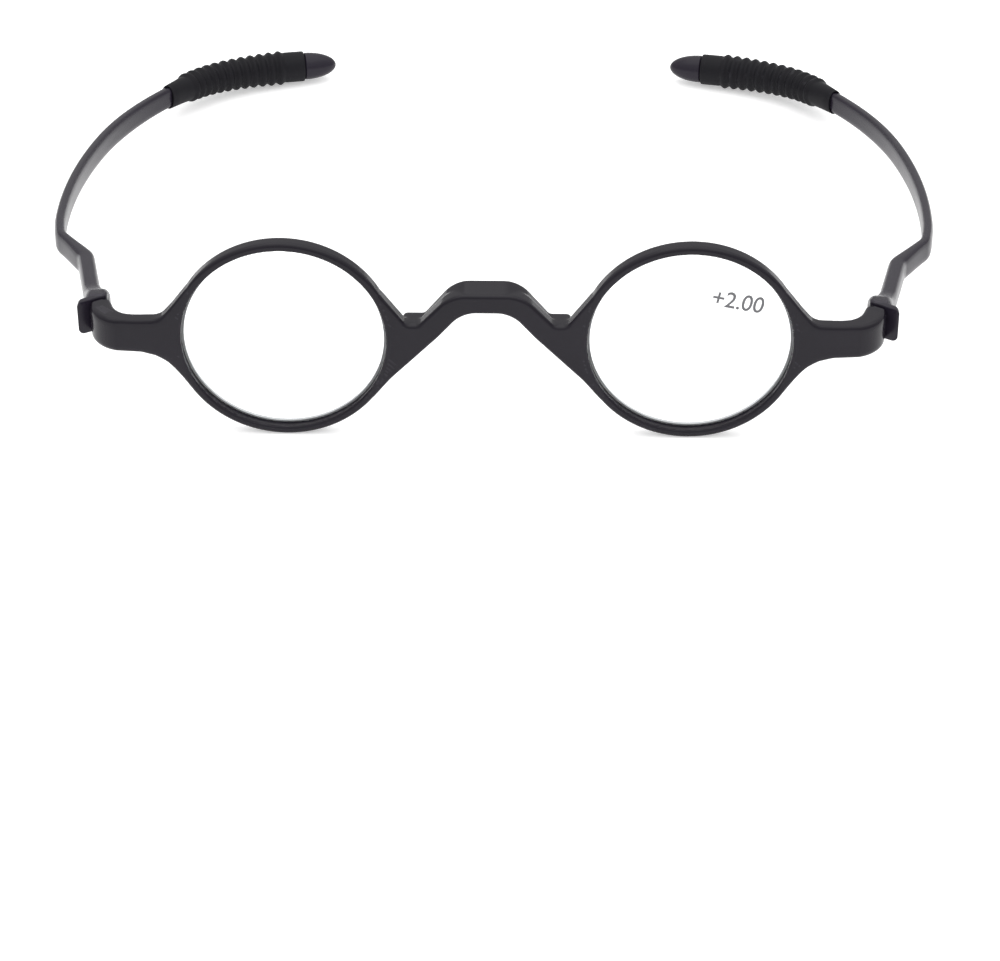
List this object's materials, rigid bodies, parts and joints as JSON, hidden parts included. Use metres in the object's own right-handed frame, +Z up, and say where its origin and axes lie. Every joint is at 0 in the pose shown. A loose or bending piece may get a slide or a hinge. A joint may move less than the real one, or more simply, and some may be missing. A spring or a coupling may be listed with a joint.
{
  "type": "folding reading glasses",
  "caption": "Round-rimmed folding reading glasses: one-piece front with saddle bridge, bowed temples on small steel hinges, and ribbed rubber tip sleeves.",
  "frame": {"origin": "middle of the ground that the open glasses cover, between the front of the rims and the ends of the tips, at the height of the surface they stand on", "axes": "+X towards the wearer's left side, +Y from the lenses towards the wearer, +Z up"},
  "size_m": [0.149, 0.1256, 0.035],
  "materials": {
    "frame_nylon": "glossy black moulded nylon",
    "temple_nylon": "satin black moulded nylon",
    "sleeve_rubber": "matte black rubber",
    "lens": "clear polished resin",
    "hinge_steel": "bare stainless steel"
  },
  "bodies": {
    "front": {"front_frame": "frame_nylon", "lens_right": "lens", "lens_left": "lens", "hinge_fork_right": "hinge_steel", "hinge_fork_left": "hinge_steel", "hinge_screw_right": "hinge_steel", "hinge_screw_left": "hinge_steel"},
    "temple_right": {"temple_right": "temple_nylon", "tip_sleeve_right": "sleeve_rubber", "hinge_eye_right": "hinge_steel"},
    "temple_left": {"temple_left": "temple_nylon", "tip_sleeve_left": "sleeve_rubber", "hinge_eye_left": "hinge_steel"}
  },
  "joints": [
    {"name": "temple_right_fold", "type": "hinge", "parent": "front", "child": "temple_right", "pos_m": [-0.06079, -0.05557, 0.0182], "axis": [0, 0, -1], "range_deg": [0, 72]},
    {"name": "temple_left_fold", "type": "hinge", "parent": "front", "child": "temple_left", "pos_m": [0.06079, -0.05557, 0.0182], "axis": [0, 0, 1], "range_deg": [0, 84]}
  ]
}
